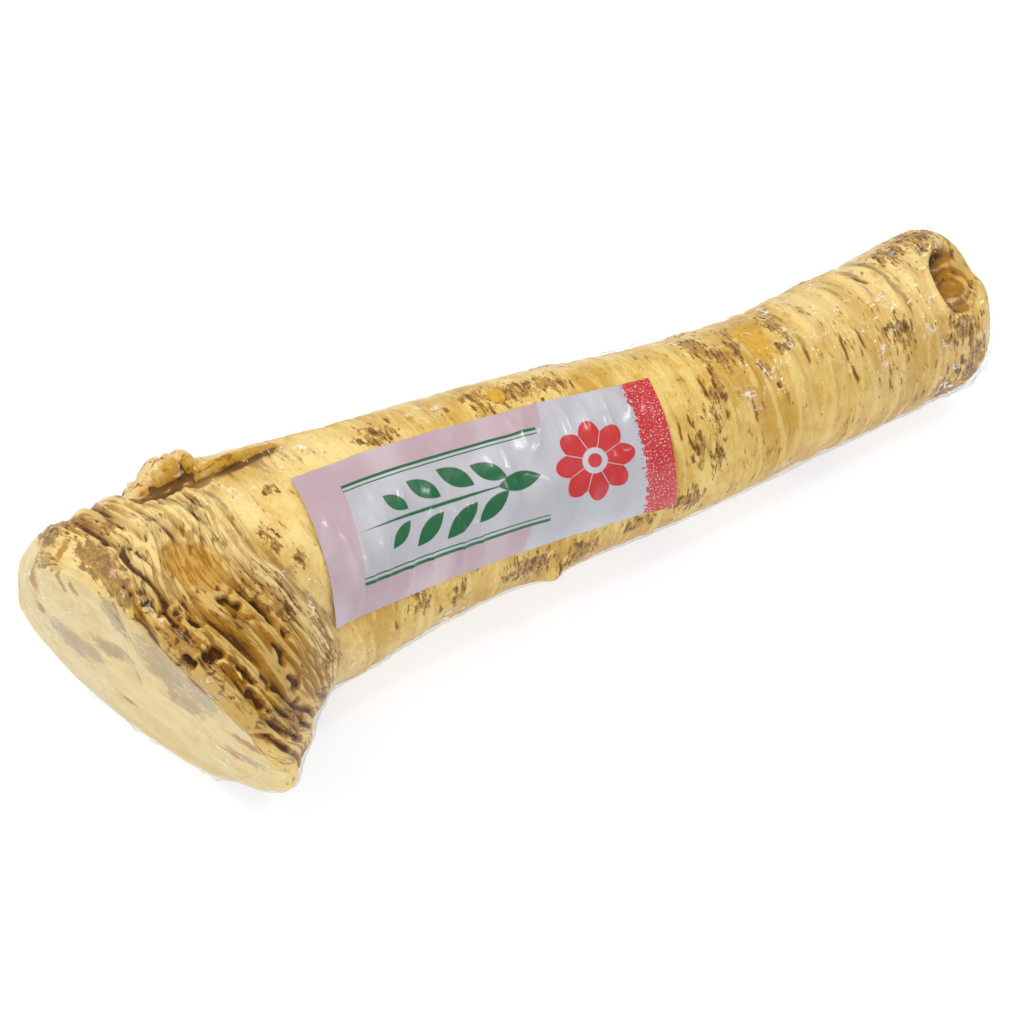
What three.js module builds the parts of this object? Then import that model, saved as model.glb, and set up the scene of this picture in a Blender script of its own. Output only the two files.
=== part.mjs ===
// A cut horseradish root lying on its side, in clear shrunk film with a label on the film.
// Millimetres, +Z up. X runs along the root: the cut crown is at -X and the thin end at +X.
// Angles round the root are in degrees, from +Y (0) over the top (90) to the front, -Y (180).
import * as THREE from 'three';

// ---- driving dimensions ----

// The root's sections from the crown to the thin end. along, side and up place the centre,
// wide and high are half sizes, roll turns the oval, yaw and pitch lean the section's plane.
const stations = [
  { along: 0, side: -3.2, up: 27.4, wide: 32.6, high: 27.8, roll: 14, yaw: 18, pitch: 12 },
  { along: 8, side: -0.5, up: 27.4, wide: 31.6, high: 27.6, roll: 18, yaw: 19, pitch: 12 },
  { along: 16, side: 3, up: 27, wide: 29, high: 26.8, roll: 20, yaw: 18, pitch: 11 },
  { along: 26, side: 7, up: 26.3, wide: 26, high: 25.4, roll: 20, yaw: 14, pitch: 8 },
  { along: 38, side: 9.2, up: 25.8, wide: 24.4, high: 24.2, roll: 10, yaw: 8, pitch: 4 },
  { along: 55, side: 10.2, up: 25, wide: 22.8, high: 22.6, roll: 0, yaw: 2, pitch: 0 },
  { along: 75, side: 10.2, up: 24, wide: 21.2, high: 21.2, roll: 0, yaw: -1, pitch: -2 },
  { along: 97, side: 8.6, up: 22.7, wide: 20, high: 20, roll: 0, yaw: -3, pitch: -3 },
  { along: 121, side: 6.4, up: 21, wide: 18.3, high: 18.3, roll: 0, yaw: -3, pitch: -3 },
  { along: 145, side: 5.6, up: 19.6, wide: 17, high: 17, roll: 0, yaw: 0, pitch: -3 },
  { along: 165, side: 6.8, up: 18.4, wide: 17.2, high: 17.1, roll: 0, yaw: 3, pitch: -3 },
  { along: 183, side: 7.8, up: 17.3, wide: 17.2, high: 17.6, roll: 0, yaw: 2, pitch: -4 },
  { along: 196, side: 8.2, up: 17.4, wide: 17.2, high: 17.6, roll: 0, yaw: 0, pitch: -6 },
];
const ringsPerStation = [3, 3, 4, 4, 4, 3, 3, 3, 3, 3, 3, 3];
const columns = 44;

// Swellings and dents in the skin: place, angle, how long, how far round, height.
const swellings = [
  { name: 'far shoulder', along: 0, angle: -28, long: 12, round: 22, high: 7 },
  { name: 'upper far shoulder', along: 9, angle: 28, long: 8, round: 12, high: 2.2 },
  { name: 'far shoulder rounding', along: -1, angle: 20, long: 4.5, round: 16, high: -2.6 },
  { name: 'top of the crown', along: 15, angle: 52, long: 9, round: 11, high: 2.6 },
  { name: 'heel hollow', along: 20, angle: 212, long: 10, round: 14, high: -4 },
  { name: 'heel side', along: 11, angle: 196, long: 6, round: 10, high: -1.2 },
  { name: 'heel tip', along: 2, angle: 208, long: 5, round: 8, high: 1.8 },
  { name: 'heel underside', along: 0, angle: 226, long: 12, round: 13, high: -3.8 },
  { name: 'bud knob', along: 27.5, angle: 49, long: 5.5, round: 5.5, high: 5.5 },
  { name: 'knob foot', along: 35, angle: 54, long: 7, round: 5, high: 2 },
  { name: 'rootlet, start', along: 42, angle: 60, long: 8, round: 3.4, high: 2.4 },
  { name: 'rootlet, end', along: 53, angle: 64, long: 8, round: 3, high: 1.4 },
  { name: 'side nub', along: 88, angle: 222, long: 4, round: 4, high: 1.6 },
  { name: 'far end lip', along: 194, angle: 60, long: 9, round: 14, high: 0.6 },
  { name: 'scar rim', along: 192, angle: 108, long: 8, round: 14, high: 2.4 },
  { name: 'scar hollow', along: 194, angle: 111, long: 4, round: 6.8, high: -6.4 },
];
// The cut face and the thin end: rounded edges, and rings as shares of the outer one.
const cutFace = { rimRound: 1.6, dish: 0.8, rings: [0.3, 0.62, 0.9] };
const tailEnd = { round: 6, dome: 2, steps: 4, rings: [0.72, 0.38] };

// The film: its clearance and thickness, how far its hollows are spanned, up to where it has
// all of the root's rows, and how wide the gathered end stays open, as a share of that end.
const film = { gap: 0.5, thick: 0.25, relaxPasses: 6, everyRowTo: 62, gatherHole: 0.12 };

// The label: where it starts and ends along the root, its width, and its top edge's angle.
const label = { from: 38, to: 115, across: 31, topAngle: 97, lift: 0.4, thick: 0.2, rows: 16, cells: 8 };

const rootMaterial = new THREE.MeshStandardMaterial({ color: '#e6d29a', roughness: 0.75, metalness: 0 });
const filmMaterial = new THREE.MeshStandardMaterial({
  color: '#ffffff', roughness: 0.08, metalness: 0, transparent: true, opacity: 0.15,
});
const labelMaterial = new THREE.MeshStandardMaterial({ color: '#dcc3cf', roughness: 0.35, metalness: 0 });

// ---- sections along the root ----

const curveThrough = (pick) =>
  new THREE.CatmullRomCurve3(stations.map((s) => new THREE.Vector3(...pick(s))), false, 'catmullrom', 0.5);
const centreLine = curveThrough((s) => [s.along, s.side, s.up]);
const halfSizes = curveThrough((s) => [s.wide, s.high, s.roll]);
const leanings = curveThrough((s) => [s.yaw, s.pitch, 0]);

const radians = THREE.MathUtils.degToRad;

// The plane and oval at t, from 0 at the crown to 1 at the thin end.
function sectionAt(t) {
  const centre = centreLine.getPoint(t);
  const [wide, high, roll] = halfSizes.getPoint(t).toArray();
  const [yaw, pitch] = leanings.getPoint(t).toArray().map(radians);
  const forward = new THREE.Vector3(
    Math.cos(pitch) * Math.cos(yaw), Math.cos(pitch) * Math.sin(yaw), Math.sin(pitch));
  const sideways = new THREE.Vector3(-Math.sin(yaw), Math.cos(yaw), 0);
  const upward = new THREE.Vector3().crossVectors(forward, sideways);
  return { t, centre, wide, high, roll, forward, sideways, upward };
}

// How far the skin stands from the section's centre in one direction.
function skinRadius(section, angle) {
  const turned = radians(angle - section.roll);
  const { wide, high } = section;
  let radius = (wide * high) / Math.hypot(high * Math.cos(turned), wide * Math.sin(turned));
  for (const bump of swellings) {
    const off = (section.centre.x - bump.along) / bump.long;
    let turn = angle - bump.angle;
    turn -= 360 * Math.round(turn / 360);
    const round = (radians(turn) * radius) / bump.round;
    radius += bump.high * Math.exp(-off * off - round * round);
  }
  return radius;
}

// The root rests on its film, so its skin is pressed flat at this height.
const rootLowest = film.gap + film.thick;

function reachToRest(section, angle) {
  const drop = -Math.sin(radians(angle)) * section.upward.z;
  return drop > 0 ? (section.centre.z - rootLowest) / drop : Infinity;
}

function pointOn(section, angle, radius, push) {
  return section.centre.clone()
    .addScaledVector(section.sideways, radius * Math.cos(radians(angle)))
    .addScaledVector(section.upward, radius * Math.sin(radians(angle)))
    .addScaledVector(section.forward, push);
}

const bodySections = [];
ringsPerStation.forEach((count, gap) => {
  for (let i = 0; i < count; i += 1) {
    bodySections.push(sectionAt((gap + i / count) / (stations.length - 1)));
  }
});
bodySections.push(sectionAt(1));

const columnAngles = Array.from({ length: columns }, (_, j) => (360 * j) / columns);
const skin = bodySections.map((section) =>
  columnAngles.map((angle) => Math.min(skinRadius(section, angle), reachToRest(section, angle))));

// ---- closed skins from rows of points ----

function meshFrom(name, points, triangles, material) {
  const geometry = new THREE.BufferGeometry().setFromPoints(points);
  geometry.setIndex(triangles);
  geometry.computeVertexNormals();
  const mesh = new THREE.Mesh(geometry, material);
  mesh.name = name;
  return mesh;
}

// Rows of points round the root, from one pole to another, become one closed skin.
function skinMesh(name, rows, material) {
  const starts = [];
  let total = 0;
  for (const row of rows) {
    starts.push(total);
    total += row.length;
  }
  const triangles = [];
  for (let i = 0; i + 1 < rows.length; i += 1) {
    const near = starts[i];
    const far = starts[i + 1];
    for (let j = 0; j < columns; j += 1) {
      const next = (j + 1) % columns;
      if (rows[i].length === 1) triangles.push(near, far + next, far + j);
      else if (rows[i + 1].length === 1) triangles.push(near + j, near + next, far);
      else triangles.push(near + j, near + next, far + next, near + j, far + next, far + j);
    }
  }
  return meshFrom(name, rows.flat(), triangles, material);
}

const ringOf = (section, radii, push) =>
  columnAngles.map((angle, j) => pointOn(section, angle, radii[j], push));
const restingOn = (height, rows) =>
  rows.map((row) => row.map((p) => p.setZ(Math.max(p.z, height))));

// Rows from the middle of the cut face to the thin end, standing off the skin by a clearance.
function rowsRound(sections, radii, off, open) {
  const crown = sections[0];
  const tail = sections.at(-1);
  const cutEdge = radii[0];
  const endEdge = radii.at(-1);
  const { dish, rimRound } = cutFace;
  const { round, dome, steps } = tailEnd;
  const rows = [[pointOn(crown, 0, 0, dish - off)]];
  for (const part of cutFace.rings) {
    rows.push(ringOf(crown, cutEdge.map((r) => r * part), dish * (1 - part * part) - off));
  }
  rows.push(ringOf(crown, cutEdge.map((r) => r + off - rimRound), -off));
  rows.push(ringOf(crown, cutEdge.map((r) => r + off), rimRound));
  for (let i = 1; i < sections.length; i += 1) {
    rows.push(ringOf(sections[i], radii[i].map((r) => r + off), 0));
  }
  for (let k = 1; k <= steps; k += 1) {
    const turn = (Math.PI / 2) * (k / steps);
    const inset = round * (1 - Math.cos(turn)) - off * Math.cos(turn);
    rows.push(ringOf(tail, endEdge.map((r) => r - inset), (round + off) * Math.sin(turn)));
  }
  for (const part of open ? [...tailEnd.rings, film.gatherHole] : tailEnd.rings) {
    const push = round + off + dome * (1 - part * part);
    rows.push(ringOf(tail, endEdge.map((r) => (r - round) * part), push));
  }
  if (!open) rows.push([pointOn(tail, 0, 0, round + off + dome)]);
  return rows;
}

// ---- the root ----

const root = skinMesh(
  'root', restingOn(rootLowest, rowsRound(bodySections, skin, 0, false)), rootMaterial);

// ---- the film ----

// The film spans hollows like a taut sheet: each point moves to the mean of its neighbours,
// but never nearer to the root than the clearance.
function tautRadii() {
  let radii = skin;
  for (let pass = 0; pass < film.relaxPasses; pass += 1) {
    radii = radii.map((row, i) => row.map((_, j) => {
      const before = radii[Math.max(i - 1, 0)][j];
      const after = radii[Math.min(i + 1, radii.length - 1)][j];
      const beside = row[(j + 1) % columns] + row[(j + columns - 1) % columns];
      return Math.max(skin[i][j], (before + after + beside) / 4);
    }));
  }
  return radii;
}

// Past the knob and rootlet the film has every other row of the root, so a row is raised
// where the straight run to the next one would dip below the taut surface between them.
function filmWrap() {
  const taut = tautRadii();
  const last = bodySections.length - 1;
  const picked = [];
  for (let i = 0; i < last; i += bodySections[i].centre.x < film.everyRowTo ? 1 : 2) picked.push(i);
  picked.push(last);
  const radii = picked.map((i) => [...taut[i]]);
  for (let k = 0; k + 1 < picked.length; k += 1) {
    for (let i = picked[k] + 1; i < picked[k + 1]; i += 1) {
      const share = (i - picked[k]) / (picked[k + 1] - picked[k]);
      for (let j = 0; j < columns; j += 1) {
        const straight = radii[k][j] * (1 - share) + radii[k + 1][j] * share;
        const raise = Math.max(0, taut[i][j] - straight);
        radii[k][j] += raise;
        radii[k + 1][j] += raise;
      }
    }
  }
  return { sections: picked.map((i) => bodySections[i]), radii };
}

const wrap = filmWrap();
const outerOff = film.gap + film.thick;
const outerRows = restingOn(0, rowsRound(wrap.sections, wrap.radii, outerOff, true));
const innerRows = restingOn(film.thick, rowsRound(wrap.sections, wrap.radii, film.gap, true));
const filmWrapMesh = skinMesh('film_wrap', [...outerRows, ...innerRows.reverse()], filmMaterial);

// ---- the label ----

// A point over the film's outer face, at t along the root and an angle round it.
function overFilm(t, angle, lift) {
  const { sections, radii } = wrap;
  const k = Math.min(sections.findIndex((s) => s.t >= t), sections.length - 1);
  const share = (t - sections[k - 1].t) / (sections[k].t - sections[k - 1].t);
  const j = Math.floor((angle * columns) / 360);
  const part = (angle * columns) / 360 - j;
  const across = (row) => row[j] * (1 - part) + row[j + 1] * part;
  const radius = across(radii[k - 1]) * (1 - share) + across(radii[k]) * share;
  return pointOn(sectionAt(t), angle, radius + outerOff + lift, 0);
}

function labelMesh() {
  const { rows, cells } = label;
  const wide = cells + 1;
  const faceAt = (lift) => {
    const points = [];
    for (let i = 0; i <= rows; i += 1) {
      const along = label.from + ((label.to - label.from) * i) / rows;
      const t = tAt(along);
      const section = sectionAt(t);
      const spread = THREE.MathUtils.radToDeg(label.across / (section.wide + outerOff));
      for (let j = 0; j <= cells; j += 1) {
        points.push(overFilm(t, label.topAngle + (spread * j) / cells, lift));
      }
    }
    return points;
  };
  const below = faceAt(label.lift);
  const above = faceAt(label.lift + label.thick);
  const first = below.length;
  const triangles = [];
  const quad = (a, b, c, d) => triangles.push(a, b, c, a, c, d);
  for (let i = 0; i < rows; i += 1) {
    for (let j = 0; j < cells; j += 1) {
      const at = i * wide + j;
      quad(first + at, first + at + 1, first + at + wide + 1, first + at + wide);
      quad(at, at + wide, at + wide + 1, at + 1);
    }
    const top = i * wide;
    const foot = top + cells;
    quad(top, first + top, first + top + wide, top + wide);
    quad(foot, foot + wide, first + foot + wide, first + foot);
  }
  for (let j = 0; j < cells; j += 1) {
    const end = rows * wide + j;
    quad(j, j + 1, first + j + 1, first + j);
    quad(end, first + end, first + end + 1, end + 1);
  }
  return meshFrom('label', [...below, ...above], triangles, labelMaterial);
}

// The share of the centre line at which it has come this far along.
function tAt(along) {
  let low = 0;
  let high = 1;
  for (let i = 0; i < 30; i += 1) {
    const middle = (low + high) / 2;
    if (centreLine.getPoint(middle).x < along) low = middle;
    else high = middle;
  }
  return (low + high) / 2;
}

// ---- the whole: standing on z = 0 with its middle over the origin ----

const group = new THREE.Group();
group.add(root, filmWrapMesh, labelMesh());
const box = new THREE.Box3().setFromObject(group, true);
const middle = box.getCenter(new THREE.Vector3());
group.position.set(-middle.x, -middle.y, -box.min.z);

export default group;
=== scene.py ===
import math
from functools import partial

import bpy
import numpy as np
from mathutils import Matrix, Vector, noise
from mathutils.bvhtree import BVHTree


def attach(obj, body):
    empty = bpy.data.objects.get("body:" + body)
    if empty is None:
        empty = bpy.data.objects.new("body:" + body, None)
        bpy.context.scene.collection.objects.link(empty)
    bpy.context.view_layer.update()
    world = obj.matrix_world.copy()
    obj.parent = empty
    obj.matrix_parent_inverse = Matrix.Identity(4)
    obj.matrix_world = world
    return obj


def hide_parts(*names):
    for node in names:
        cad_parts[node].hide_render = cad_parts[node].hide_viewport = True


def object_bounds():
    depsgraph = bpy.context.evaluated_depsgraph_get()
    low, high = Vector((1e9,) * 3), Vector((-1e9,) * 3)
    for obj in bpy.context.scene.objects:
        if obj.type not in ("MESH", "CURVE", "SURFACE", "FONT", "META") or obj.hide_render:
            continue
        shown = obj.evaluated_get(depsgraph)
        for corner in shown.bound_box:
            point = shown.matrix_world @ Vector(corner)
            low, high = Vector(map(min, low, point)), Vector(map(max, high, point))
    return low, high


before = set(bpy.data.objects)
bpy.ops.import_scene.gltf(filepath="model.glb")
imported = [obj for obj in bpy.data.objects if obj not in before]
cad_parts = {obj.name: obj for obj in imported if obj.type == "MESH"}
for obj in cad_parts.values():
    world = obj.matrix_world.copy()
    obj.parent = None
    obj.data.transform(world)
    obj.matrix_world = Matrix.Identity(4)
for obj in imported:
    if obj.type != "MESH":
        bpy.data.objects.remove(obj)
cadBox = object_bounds()
mm = 0.001  # places and sizes below are in millimetres unless they say otherwise
mergeGap = 0.00001  # in metres: points nearer than this are one
print("frame loaded")

# Places on the root are given as a distance along it from the middle of the cut face, and an
# angle round it in degrees: 0 is the far side, 90 the top, 180 the near side.
rootLine = {
    "start": 12.44,  # from the far shoulder of the film to the middle of the cut face
    "along": [0, 8, 16, 26, 38, 55, 75, 97, 121, 145, 165, 183, 196],
    "side": [-3.2, -0.5, 3, 7, 9.2, 10.2, 10.2, 8.6, 6.4, 5.6, 6.8, 7.8, 8.2],
    "up": [27.4, 27.4, 27, 26.3, 25.8, 25, 24, 22.7, 21, 19.6, 18.4, 17.3, 17.4],
    "yaw": [18, 19, 18, 14, 8, 2, -1, -3, -3, 0, 3, 2, 0],
    "pitch": [12, 12, 11, 8, 4, 0, -2, -3, -3, -3, -3, -4, -6],
    "length": 196, "steps": 393, "smooth": 15,  # smoothed over this many of its steps
}


def deselectAll():
    bpy.ops.object.select_all(action="DESELECT")


def makeActive(piece):
    deselectAll()
    piece.select_set(True)
    bpy.context.view_layer.objects.active = piece


def applyModifier(piece, kind, **settings):
    makeActive(piece)
    modifier = piece.modifiers.new(kind.lower(), kind)
    for key, value in settings.items():
        setattr(modifier, key, value)
    bpy.ops.object.modifier_apply(modifier=modifier.name)


def inEditMode(piece, *steps):
    makeActive(piece)
    bpy.ops.object.mode_set(mode="EDIT")
    bpy.ops.mesh.select_all(action="SELECT")
    for step in steps:
        step()
    bpy.ops.object.mode_set(mode="OBJECT")


def vectorsOf(items, key):
    flat = np.empty(len(items) * 3, np.float32)
    items.foreach_get(key, flat)
    return flat.reshape(-1, 3).astype(float)


def pointsOf(piece):
    return vectorsOf(piece.data.vertices, "co")


def normalsOf(piece):
    return vectorsOf(piece.data.vertex_normals, "vector")


def movePoints(piece, points):
    piece.data.vertices.foreach_set("co", points.astype(np.float32).ravel())
    piece.data.update()


def dressed(piece, material, stage):
    piece.data.materials.append(material)
    print(stage, len(piece.data.polygons), "faces")
    return piece


def averager(piece):
    # returns a function that replaces each point's value by the mean of its neighbours'
    pairs = np.empty(len(piece.data.edges) * 2, np.int32)
    piece.data.edges.foreach_get("vertices", pairs)
    one, two = pairs.reshape(-1, 2).T
    count = len(piece.data.vertices)
    share = np.bincount(one, minlength=count) + np.bincount(two, minlength=count)

    def average(values):
        columns = []
        for column in np.atleast_2d(values.T):
            total = np.bincount(one, weights=column[two], minlength=count)
            total += np.bincount(two, weights=column[one], minlength=count)
            columns.append(total / np.maximum(share, 1))
        return np.array(columns).T.reshape(values.shape)

    return average


def storeLayer(piece, name, values):
    kind = "FLOAT_VECTOR" if values.ndim == 2 else "FLOAT"
    stored = piece.data.attributes.new(name, kind, "POINT")
    stored.data.foreach_set("vector" if values.ndim == 2 else "value", values.astype(np.float32).ravel())


def roughly(points, size, seed=0, where=None):
    # soft noise from -1 to 1; size is its grain in millimetres, or one per axis
    if where is not None:
        values = np.zeros(len(points))
        values[where] = roughly(points[where], size, seed)
        return values
    scaled = points / np.asarray(size) + seed * 31.7
    return np.array([noise.noise(p) for p in scaled.tolist()])


def ridged(points, size, seed=0):
    # sharp crests at 1 between round valleys near 0
    return 1 - np.clip(np.abs(roughly(points, size, seed)) * 2.2, 0, 1)


def stepUp(value, low, high):
    share = np.clip((value - low) / (high - low), 0, 1)
    return share * share * (3 - 2 * share)


def bell(distance):
    return np.exp(-distance * distance)


def turnFrom(angles, angle):
    return (angles - angle + 180) % 360 - 180


lineAlong = np.linspace(0, rootLine["length"], rootLine["steps"])


def easedLine(key):
    values = np.interp(lineAlong, rootLine["along"], rootLine[key])
    window = np.ones(rootLine["smooth"]) / rootLine["smooth"]
    for _ in range(2):
        values = np.convolve(np.pad(values, rootLine["smooth"] // 2, mode="edge"), window, "valid")
    return values


lineValues = {key: easedLine(key) for key in ("side", "up", "yaw", "pitch")}


def sectionsAt(along):
    # centres and the three directions of the leaning sections, along the root, sideways and up
    yaw, pitch = (np.radians(np.interp(along, lineAlong, lineValues[k])) for k in ("yaw", "pitch"))
    side, up = (np.interp(along, lineAlong, lineValues[k]) for k in ("side", "up"))
    centre = np.stack([along, side, up], -1)
    forward = np.stack([np.cos(pitch) * np.cos(yaw), np.cos(pitch) * np.sin(yaw), np.sin(pitch)], -1)
    sideways = np.stack([-np.sin(yaw), np.cos(yaw), np.zeros_like(yaw)], -1)
    return centre, forward, sideways, np.cross(forward, sideways)


lineStart = np.array([cadBox[0][0] / mm + rootLine["start"], 0, 0])


def toLine(points):
    # metres in the frame to millimetres from the middle of the cut face
    return points / mm - lineStart


def fromLine(points):
    return (points + lineStart) * mm


def unrolled(points):
    # how far along, at which angle and how far out each point lies, and its straightened place
    places = toLine(points)
    along = places[:, 0].copy()
    for _ in range(10):
        centre, forward, sideways, upward = sectionsAt(along)
        along += 0.8 * ((places - centre) * forward).sum(-1)
    centre, forward, sideways, upward = sectionsAt(along)
    across = ((places - centre) * sideways).sum(-1)
    high = ((places - centre) * upward).sum(-1)
    angle = np.degrees(np.arctan2(high, across)) % 360
    return along, angle, np.hypot(across, high), np.stack([along, across, high], -1)


def wayAt(angle, sideways, upward):
    # the direction at an angle round a section
    turn = math.radians(angle)
    return math.cos(turn) * sideways + math.sin(turn) * upward


def onRoot(along, angle, out):
    # one place in the frame, in metres
    centre, _, sideways, upward = sectionsAt(np.array([float(along)]))
    return Vector(fromLine(centre[0] + out * wayAt(angle, sideways[0], upward[0])))


def newMaterial(name):
    material = bpy.data.materials.new(name)
    material.use_nodes = True
    material.node_tree.nodes.clear()
    return material, material.node_tree


def addNode(tree, kind, values=None, **settings):
    node = tree.nodes.new("ShaderNode" + kind)
    for key, value in settings.items():
        setattr(node, key, value)
    for key, value in (values or {}).items():
        if isinstance(value, bpy.types.NodeSocket):
            tree.links.new(value, node.inputs[key])
        else:
            node.inputs[key].default_value = value
    return node


def layer(tree, name, output="Fac"):
    return addNode(tree, "Attribute", attribute_name=name).outputs[output]


def treeOf(*values):
    return next(v.id_data for v in values if isinstance(v, bpy.types.NodeSocket))


def maths(operation, one, two=0, clamp=False):
    values = {0: one, 1: two}
    return addNode(treeOf(one, two), "Math", values, operation=operation, use_clamp=clamp).outputs[0]


def plus(one, two):
    return maths("ADD", one, two)


def minus(one, two):
    return maths("SUBTRACT", one, two)


def times(one, two):
    return maths("MULTIPLY", one, two)


def eased(value, low, high, start=0, end=1):
    values = {"Value": value, "From Min": low, "From Max": high, "To Min": start, "To Max": end}
    return addNode(treeOf(value), "MapRange", values, interpolation_type="SMOOTHSTEP").outputs[0]


def grain(place, scale, size=1, detail=3, rough=0.55):
    # noise over straightened places in millimetres; scale stretches it along, across and up
    tree = treeOf(place)
    stretched = addNode(tree, "VectorMath", {0: place, 1: scale}, operation="MULTIPLY").outputs[0]
    values = {"Vector": stretched, "Scale": size, "Detail": detail, "Roughness": rough}
    return addNode(tree, "TexNoise", values, noise_type="FBM").outputs["Fac"]


def tint(share, under, over):
    # over laid on under, as far as share says
    tree = treeOf(share, under, over)
    node = addNode(tree, "Mix", data_type="RGBA", blend_type="MIX")
    for key, value in (("Factor_Float", share), ("A_Color", under), ("B_Color", over)):
        socket = next(s for s in node.inputs if s.identifier == key)
        if isinstance(value, bpy.types.NodeSocket):
            tree.links.new(value, socket)
        elif key == "Factor_Float":
            socket.default_value = value
        else:
            socket.default_value = (*value, 1)
    return next(s for s in node.outputs if s.identifier == "Result_Color")


def coated(under, tones, *coats):
    # each coat is its share and the name of its tone
    for share, tone in coats:
        under = tint(share, under, tones[tone])
    return under


def bumped(height, strength, distance):
    values = {"Height": height, "Strength": strength, "Distance": distance}
    return addNode(treeOf(height), "Bump", values).outputs[0]


def setSurface(tree, shader):
    addNode(tree, "OutputMaterial", {"Surface": shader})


rootColours = {
    "cream": (0.81, 0.60, 0.205), "straw": (0.69, 0.455, 0.11), "golden": (0.54, 0.295, 0.034),
    "streakAndShade": (0.23, 0.093, 0.009), "speckAndShade": (0.12, 0.046, 0.006), "bark": (0.43, 0.23, 0.055),
    "orange": (0.69, 0.38, 0.03), "rust": (0.40, 0.17, 0.010), "ochre": (0.36, 0.158, 0.004),
    "deep": (0.055, 0.014, 0.0008), "crest": (0.80, 0.57, 0.19), "cut": (0.81, 0.62, 0.27),
    "cutGrey": (0.40, 0.265, 0.13), "torn": (0.58, 0.32, 0.07), "shoulder": (0.23, 0.13, 0.055),
    "bud": (0.74, 0.53, 0.23), "tan": (0.60, 0.33, 0.07), "pale": (0.89, 0.71, 0.33),
}


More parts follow.
